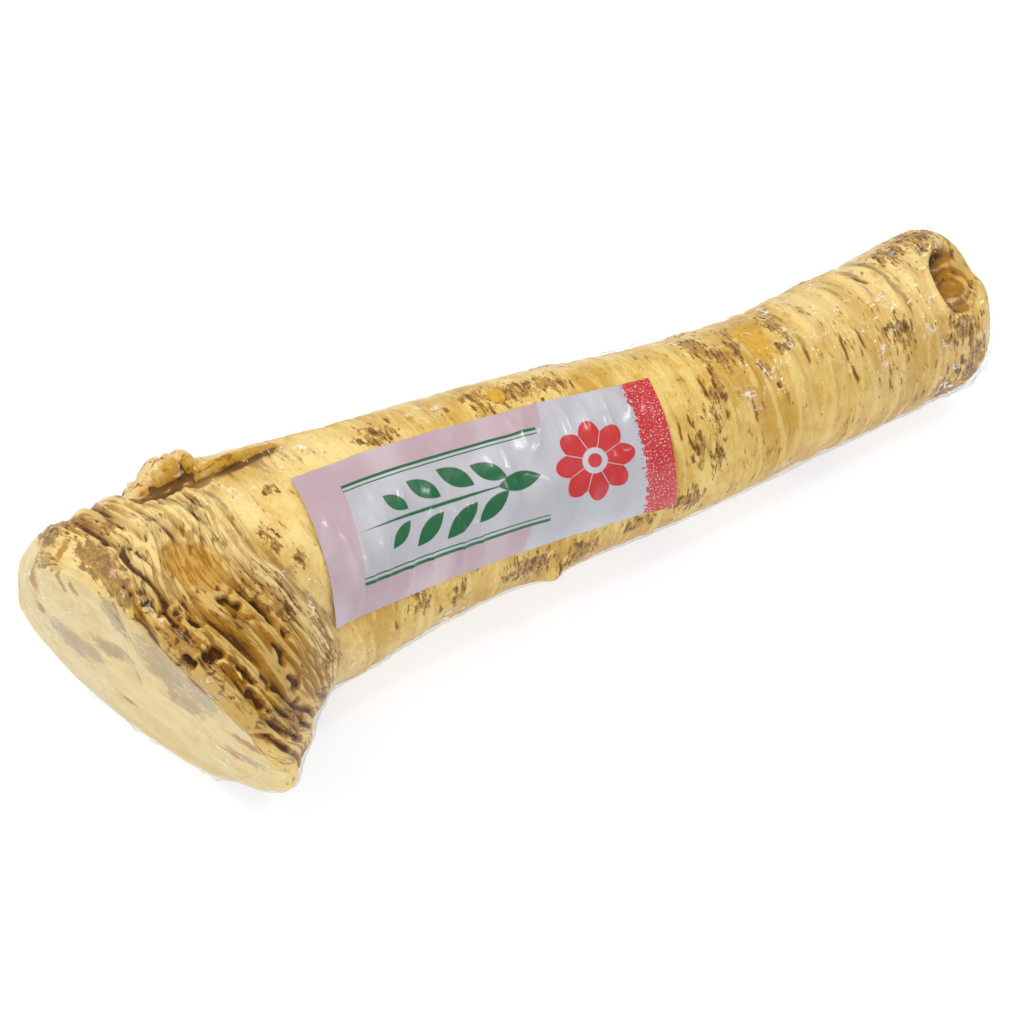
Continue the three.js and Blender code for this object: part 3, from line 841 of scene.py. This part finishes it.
def clearFilmMaterial():
    material, tree = newMaterial("clearFilm")
    place = layer(tree, "straight", "Vector")
    crease = layer(tree, "crease")
    crinkle = layer(tree, "crinkle")
    ripple = grain(place, (0.4, 0.55, 0.55), 1, 2, 0.5)
    bump = bumped(ripple, plus(times(crinkle, 0.8), 0.2), 0.8 * mm)
    facing = addNode(tree, "LayerWeight", {"Blend": 0.5}).outputs["Facing"]
    steep = maths("POWER", facing, 3)
    shine = plus(times(steep, 0.16), 0.01)
    shine = plus(shine, times(maths("MAXIMUM", crease, crinkle), 0.03))

    # painted highlights: thin bent white lines where the film is crumpled, and white along sharp creases,
    # stand in for glints off its folds
    def bentLines(scale, half, mask):
        wander = grain(place, scale, 1, 1.5, 0.5)
        away = maths("ABSOLUTE", minus(wander, 0.5))
        return times(eased(away, 0, half, 1, 0), mask)

    broken = eased(grain(place, (0.18, 0.3, 0.3), 1, 1), 0.48, 0.58)
    crumpled = times(broken, eased(crinkle, 0.25, 0.7))
    white = maths("MAXIMUM", bentLines((0.1, 0.42, 0.42), 0.018, crumpled), bentLines(
        (0.4, 0.16, 0.16), 0.018, crumpled))
    strength = eased(grain(place, (0.3, 0.4, 0.4), 1, 1), 0.42, 0.64, 0.05, 0.7)
    white = maths("MAXIMUM", times(white, strength), eased(crease, 0.6, 0.95, 0, 0.4))
    body = tint(steep, (0.99, 0.99, 0.985), (0.84, 0.85, 0.86))
    clear = addNode(tree, "BsdfTransparent", {"Color": body}).outputs[0]
    gloss = addNode(tree, "BsdfGlossy", {"Color": (1, 1, 1, 1), "Roughness": 0.1, "Normal": bump}).outputs[0]
    paintedGlareTone = addNode(tree, "BsdfDiffuse", {"Color": (0.95, 0.95, 0.95, 1)}).outputs[0]
    # painted sheen: white laid over the film at glancing angles, on top of the painted highlight lines
    paintedGlare = maths("ADD", white, times(maths("POWER", facing, 5), 0.2), clamp=True)
    sheet = addNode(tree, "MixShader", {0: shine, 1: clear, 2: gloss}).outputs[0]
    sheet = addNode(tree, "MixShader", {0: paintedGlare, 1: sheet, 2: paintedGlareTone}).outputs[0]
    setSurface(tree, sheet)
    return material


def reachOf(points, directions, surface, far):
    # how far out along its own direction each point would touch the surface, in metres
    reach = np.zeros(len(points))
    starts = points + directions * far
    for i, (start, way) in enumerate(zip(starts.tolist(), (-directions).tolist())):
        hit = surface.ray_cast(start, way, far * 2.5)
        if hit[0] is not None:
            reach[i] = far - hit[3]
    return reach


def surfaceOf(piece):
    bpy.context.view_layer.update()
    return BVHTree.FromObject(piece, bpy.context.evaluated_depsgraph_get())


def buildFilm(rootPiece):
    piece = joinedRoot("clearFilm", filmShape["voxel"])
    average = averager(piece)
    points, outward = pointsOf(piece), normalsOf(piece)
    for _ in range(4):
        points, outward = average(points), average(outward)
    outward /= np.linalg.norm(outward, axis=1)[:, None]
    floorReach = reachOf(points, outward, surfaceOf(rootPiece), filmShape["search"] * mm)
    floorReach += filmShape["gap"] * mm
    along, angle, _, straight = unrolled(points)
    rough, sharp = partial(roughly, straight), partial(ridged, straight)

    # slack along the far upper side and at the thin end, and pressed on elsewhere
    slack = bell(turnFrom(angle, 60) / 19) + 0.5 * stepUp(along, 186, 198)
    slack *= stepUp(along, 26, 60)
    air = slack * np.clip(0.35 + 1.1 * rough((30, 14, 14), 60), 0, 1)
    least = floorReach + air * filmShape["air"] * mm
    reach = np.maximum(least, filmShape["start"] * mm)
    for _ in range(filmShape["passes"]):
        drawn = average(points + outward * reach[:, None])
        reach = np.maximum(floorReach, ((drawn - points) * outward).sum(-1))
    reach = average(np.maximum(reach, average(average(least))))

    # creases: long ones pulled towards the ends, slanting ones, and pleats where it is gathered
    turned = np.stack([along, straight[:, 1] + along * 0.25, straight[:, 2] - along * 0.2], -1)
    long = sharp((70, 7, 7), 61) ** 5 * stepUp(rough((40, 20, 20), 62), -0.05, 0.4)
    slanted = ridged(turned, (26, 9, 9), 63) ** 6 * stepUp(rough((24, 18, 18), 64), 0, 0.4)
    cluster = stepUp(rough((20, 15, 15), 69), 0.1, 0.4) + 0.5 * stepUp(along, 150, 175)
    cluster = np.clip(cluster + bell((along - 139) / 14) * bell(turnFrom(angle, 133) / 16), 0, 1)
    crumple = cluster * sharp((4, 3.4, 3.4), 65) ** 2
    gather = stepUp(along, 182, 199)
    wave = np.sin(np.radians(angle) * filmShape["pleatCount"] + 2.2 * rough((9, 9, 9), 66)) / 2 + 0.5
    scar = rootShape["scar"]["middle"]
    bare = bell(np.hypot((along - scar[0]) / 7, turnFrom(angle, scar[1]) / 30) * 1.2)
    crease = 0.45 * np.clip(long + slanted, 0, 1) * (1 - gather)
    crease += (1 - bare) * gather * (0.65 * wave ** 6 + 0.5 * sharp((4, 4, 4), 67) ** 6)
    cluster *= 1 - bare
    lift = filmShape["folds"] * (long + slanted) * (1 - gather) + filmShape["crumple"] * crumple
    covered = stepUp(along, 32, 40) * (1 - stepUp(along, 116, 124)) * (
        1 - stepUp(np.abs(turnFrom(angle, 135)), 47, 60))
    lift *= 1 - filmShape["flattened"] * covered
    lift += gather * filmShape["pleats"] * (0.6 * wave ** 2 + 0.5 * sharp((5, 5, 5), 68) ** 3)
    reach += lift * mm
    points = points + outward * reach[:, None]
    points[:, 2] = np.maximum(points[:, 2], filmShape["lowest"] * mm)
    lowCorner, highCorner = np.array(cadBox)
    points = np.clip(points, lowCorner - filmShape["beyond"] * mm, highCorner + filmShape["beyond"] * mm)
    movePoints(piece, points)
    storeLayer(piece, "straight", straight)
    storeLayer(piece, "crease", np.clip(crease, 0, 1))
    storeLayer(piece, "crinkle", np.clip(cluster + gather * (1 - bare), 0, 1))
    makeActive(piece)
    bpy.ops.object.shade_smooth()
    return dressed(piece, clearFilmMaterial(), "film wrapped:")


labelShape = {
    "long": 77, "round": 31, "columns": 154, "rows": 62, "lift": 0.06, "thick": 0.1,
    "left": [40.3, 35.8, 28.8],  # where its left edge lies along the root at the top, middle and bottom
    "right": [117.4, 116, 115.4],
    "angles": (90.5, 98),  # of its top corners
    "spans": (31.5, 28.5),  # round the root along its left and right edges
    "stuck": 3,  # it is stuck down this near its edges, and bridges small creases elsewhere
    "step": 0.5, "margin": 3, "above": 4, "below": 104,  # of the table of the film under it
    "outside": 45, "probe": 50,  # where the table's rays start, and their length
    "bridge": 5,  # how many cells of the table it bridges at a time
    "crease": 0.5, "sharp": 50,
}
labelColours = {
    "pink": (0.45, 0.315, 0.35), "silver": (0.43, 0.42, 0.45), "green": (0.003, 0.105, 0.03),
    "red": (0.50, 0.02, 0.022), "white": (0.85, 0.85, 0.87),
}
labelArt = {
    "middle": 15.5,  # the line that the sprig and the rosette lie on
    "stripe": 9.6, "inset": 8.6,  # half the stripe's height, and where its inner lines are
    # leaves of the sprig: place along, distance from the middle, turn in degrees, half length
    # and half width
    "leaves": [
        (43.5, 0, 0, 4.6, 1.9), (37.5, 3.5, 32, 4.2, 1.7), (30.5, 4.3, 36, 4.4, 1.8),
        (23.5, 3.9, 38, 4, 1.7), (17.2, 3.1, 42, 3, 1.3),
    ],
    "stem": (26, 0, 0, 17, 0.34),
    "rosette": {"along": 60, "reach": 8.6, "rays": 7.6, "eye": 2.7, "pip": 1.5},
    "band": 70.5,
}


def printedLabelMaterial():
    material, tree = newMaterial("printedLabel")
    c, art = labelColours, labelArt
    split = addNode(tree, "SeparateXYZ", {0: addNode(tree, "UVMap", uv_map="print").outputs[0]})
    x = times(split.outputs[0], labelShape["long"])
    y = times(split.outputs[1], labelShape["round"])
    flat = addNode(tree, "CombineXYZ", {0: x, 1: y}).outputs[0]
    dust = grain(flat, (1, 1, 1), 1.1, 2)
    dots = grain(flat, (1, 1, 1), 2.6, 1, 0.4)

    def inside(value, limit, soft=0.12):
        return eased(value, limit - soft, limit + soft, 1, 0)

    def leafShape(along, high, turn, long, wide):
        left, down = minus(x, along), minus(y, high)
        cos, sin = math.cos(math.radians(turn)), math.sin(math.radians(turn))
        share = maths("DIVIDE", plus(times(left, cos), times(down, sin)), long)
        side = maths("ABSOLUTE", minus(times(down, cos), times(left, sin)))
        return inside(minus(side, times(minus(1, times(share, share)), wide)), 0)

    # a silver stripe runs through the lilac field and fills the right end
    middle = maths("ABSOLUTE", minus(y, art["middle"]))
    stripe = times(inside(middle, art["stripe"]), eased(x, 7.9, 8.1))
    stripe = maths("MAXIMUM", stripe, eased(plus(x, times(y, 0.25)), 51.9, 52.1))
    colour = tint(stripe, c["pink"], c["silver"])
    colour = tint(eased(grain(flat, (0.09, 0.05, 1), 1, 1), 0.4, 0.7, 0, 0.2), colour, c["white"])

    # double lines along the stripe, and a sprig between them
    outer = inside(maths("ABSOLUTE", minus(middle, art["stripe"])), 0.32)
    inner = inside(maths("ABSOLUTE", minus(middle, art["inset"])), 0.14, 0.08)
    lines = times(plus(outer, inner), times(eased(x, 7.7, 7.9), inside(x, 49.5)))
    for along, away, turn, *halves in art["leaves"] + [art["stem"]]:
        for side in (-1, 1) if away else (1,):
            leaf = leafShape(along, art["middle"] + side * away, -side * turn, *halves)
            lines = maths("MAXIMUM", lines, leaf)
    colour = tint(lines, colour, c["green"])

    # a rosette of eight petals
    size = art["rosette"]
    left, down = minus(x, size["along"]), minus(y, art["middle"])
    away = maths("SQRT", plus(times(left, left), times(down, down)))
    wave = maths("ABSOLUTE", maths("COSINE", times(maths("ARCTAN2", down, left), 4)))
    edge = plus(times(wave, size["reach"] * 0.28), size["reach"] * 0.72)
    rays = inside(plus(wave, times(away, 0.02)), 0.16, 0.05)
    petals = times(inside(minus(away, edge), 0), minus(1, times(rays, inside(away, size["rays"]))))
    petals = times(petals, minus(1, inside(away, size["eye"])))
    petals = maths("MAXIMUM", petals, inside(away, size["pip"]))

    # a red end with a ragged edge and pale dots
    band = eased(plus(x, times(minus(dust, 0.5), 5)), art["band"] - 0.15, art["band"] + 0.15)
    red = tint(times(eased(dots, 0.6, 0.68, 0, 0.55), band), c["red"], c["white"])
    colour = tint(maths("MAXIMUM", petals, band), colour, red)
    shader = addNode(tree, "BsdfPrincipled", {
        "Base Color": colour, "Roughness": 0.34, "Specular IOR Level": 0.4, "Coat Weight": 0.4,
        "Coat Roughness": 0.12, "Normal": bumped(grain(flat, (0.5, 0.12, 1), 1, 2), 0.25, 0.4 * mm)})
    setSurface(tree, shader.outputs[0])
    return material


def filmUnderLabel(surface, alongs, angles):
    # how far out the film is at each place and angle: as it is, and with its creases bridged
    size = labelShape
    centre, _, sideways, upward = sectionsAt(alongs)
    tight = np.empty((len(alongs), len(angles)))
    for i in range(len(alongs)):
        for j, angle in enumerate(angles):
            way = wayAt(angle, sideways[i], upward[i])
            start = Vector(fromLine(centre[i] + way * size["outside"]))
            hit = surface.ray_cast(start, Vector(-way), size["probe"] * mm)
            tight[i, j] = size["outside"] - hit[3] / mm
    bridged = tight
    cells = range(size["bridge"])
    for _ in range(3):
        padded = np.pad(bridged, size["bridge"] // 2, mode="edge")
        around = sum(padded[i:i + len(alongs), j:j + len(angles)] for i in cells for j in cells)
        bridged = np.maximum(bridged, around / size["bridge"] ** 2)
    return tight, bridged


def labelPoints(surface):
    # the label's places, by column and row, each row laid round the root from its top edge
    size = labelShape
    alongs = np.arange(size["left"][2] - size["margin"], size["right"][0] + size["margin"], size["step"])
    angles = np.arange(size["angles"][0] - size["above"], size["angles"][0] + size["below"])
    tight, bridged = filmUnderLabel(surface, alongs, angles)
    step = math.radians(1) * (bridged[:, 1:] + bridged[:, :-1]) / 2
    reach = np.concatenate([np.zeros((len(alongs), 1)), np.cumsum(step, axis=1)], axis=1)

    def between(table, place, angle):
        # the table's value between its columns and rows
        row = np.clip((place - alongs[0]) / size["step"], 0, len(alongs) - 1.001)
        low = int(row)
        one, two = (np.interp(angle, angles, table[k]) for k in (low, low + 1))
        return one + (two - one) * (row - low)

    rows = np.linspace(0, 1, size["rows"] + 1)
    columns = np.linspace(0, 1, size["columns"] + 1)
    points = np.empty((len(columns), len(rows), 3))
    left, right = (np.polyval(np.polyfit((0, 0.5, 1), size[side], 2), rows) for side in ("left", "right"))
    for i, share in enumerate(columns):
        top, span = (size[key][0] + share * (size[key][1] - size[key][0]) for key in ("angles", "spans"))
        for j, place in enumerate(left + (right - left) * share):
            run = between(reach, place, top) + span * rows[j]
            turn = np.interp(run, reach[int((place - alongs[0]) / size["step"])], angles)
            edge = min(min(share, 1 - share) * size["long"], min(rows[j], 1 - rows[j]) * size["round"])
            loose = float(stepUp(edge, 0, size["stuck"]))
            far = between(tight, place, turn) * (1 - loose) + between(bridged, place, turn) * loose
            middle, _, aside, above = (v[0] for v in sectionsAt(np.array([place])))
            points[i, j] = middle + (far + size["lift"]) * wayAt(turn, aside, above)
    return points


def buildLabel(film):
    size = labelShape
    bpy.ops.mesh.primitive_grid_add(x_subdivisions=size["columns"], y_subdivisions=size["rows"], size=1)
    piece = bpy.context.object
    piece.name = "printedLabel"
    flat = pointsOf(piece)[:, :2] + 0.5
    flat[:, 1] = 1 - flat[:, 1]
    column, row = (np.rint(flat[:, i] * size[key]).astype(int) for i, key in enumerate(("columns", "rows")))
    movePoints(piece, fromLine(labelPoints(surfaceOf(film))[column, row]))

    # soft creases across it
    prints = np.stack([flat[:, 0] * size["long"], flat[:, 1] * size["round"], np.zeros(len(flat))], -1)
    crease = ridged(prints, (6, 30, 1), 80) ** 5 * stepUp(roughly(prints, (16, 12, 1), 81), -0.15, 0.3)
    crease += 0.5 * ridged(prints, (3, 9, 1), 82) ** 4 * stepUp(roughly(prints, (9, 8, 1), 83), 0, 0.4)
    outward = normalsOf(piece)
    if outward[:, 2].mean() < 0:
        inEditMode(piece, lambda: bpy.ops.mesh.flip_normals())
        outward = -outward
    edge = np.minimum(flat, 1 - flat) * (size["long"], size["round"])
    crease *= stepUp(edge.min(axis=1), 0, size["stuck"])
    movePoints(piece, pointsOf(piece) + outward * (crease * size["crease"] * mm)[:, None])

    # the print's own map
    printMap = piece.data.uv_layers.active or piece.data.uv_layers.new()
    printMap.name = "print"
    corners = np.empty(len(piece.data.loops), np.int32)
    piece.data.loops.foreach_get("vertex_index", corners)
    printMap.data.foreach_set("uv", flat[corners].astype(np.float32).ravel())
    applyModifier(piece, "SOLIDIFY", thickness=size["thick"] * mm, offset=1)
    makeActive(piece)
    bpy.ops.object.shade_smooth_by_angle(angle=math.radians(size["sharp"]))
    return dressed(piece, printedLabelMaterial(), "label laid:")


studio = {
    "azimuth": -33, "elevation": 45, "distance": 570, "lens": 100, "aim": (-11.8, 2.2, 22),
    "key": {"place": (-260, 330, 1000), "size": 480, "power": 7.3},
    "front": {"place": (-520, -800, 700), "size": 600, "power": 2.2},
    "glint": {"place": (450, -260, 1050), "size": 150, "power": 1.5},
    "spark": {"place": (430, -770, 660), "size": 110, "power": 0.5},
    "floor": 8,  # in metres
    "tones": ((0.60, 0.60, 0.61), (0.62, 0.62, 0.63)), "sky": 0.52, "glow": (0.55, 0.60, 0.66),
}


def addLight(name, spec):
    light = bpy.data.lights.new(name, "AREA")
    light.shape = "SQUARE"
    light.size = spec["size"] * mm
    light.energy = spec["power"]
    lamp = bpy.data.objects.new(name, light)
    lamp.location = Vector(spec["place"]) * mm
    lamp.rotation_euler = (-lamp.location).to_track_quat("-Z", "Y").to_euler()
    bpy.context.scene.collection.objects.link(lamp)


def buildStudio():
    bpy.ops.mesh.primitive_plane_add(size=studio["floor"])
    floor = bpy.context.object
    floor.name = "floor"
    material, tree = newMaterial("paleFloor")
    dust = grain(addNode(tree, "TexCoord").outputs["Object"], (1, 1, 1), 40)
    tone = tint(dust, *studio["tones"])
    shader = addNode(tree, "BsdfPrincipled", {
        "Base Color": tone, "Roughness": 0.8, "Emission Color": (*studio["glow"], 1), "Emission Strength": 1})
    setSurface(tree, shader.outputs[0])
    floor.data.materials.append(material)
    for name in ("key", "front", "glint", "spark"):
        addLight(name, studio[name])
    world = bpy.data.worlds.new("studio")
    world.use_nodes = True
    world.node_tree.nodes["Background"].inputs["Color"].default_value = (1, 1, 1, 1)
    world.node_tree.nodes["Background"].inputs["Strength"].default_value = studio["sky"]
    scene = bpy.context.scene
    scene.world = world
    scene.view_settings.view_transform = "Standard"
    azimuth, elevation = math.radians(studio["azimuth"]), math.radians(studio["elevation"])
    towards = Vector((math.sin(azimuth) * math.cos(elevation), -math.cos(azimuth) * math.cos(elevation),
                      math.sin(elevation)))
    camera = bpy.data.cameras.new("camera")
    camera.lens = studio["lens"]
    eye = bpy.data.objects.new("camera", camera)
    eye.location = Vector(studio["aim"]) * mm + towards * studio["distance"] * mm
    eye.rotation_euler = (-towards).to_track_quat("-Z", "Y").to_euler()
    scene.collection.objects.link(eye)
    scene.camera = eye
    print("floor, lights and camera placed")


buildStudio()
rootBody = buildRoot()
clearFilm = buildFilm(rootBody)
printedLabel = buildLabel(clearFilm)
for piece, node, slot in ((rootBody, "root", "root_skin"), (clearFilm, "film_wrap", "clear_film"),
                          (printedLabel, "label", "printed_label")):
    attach(piece, "root")
    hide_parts(node)
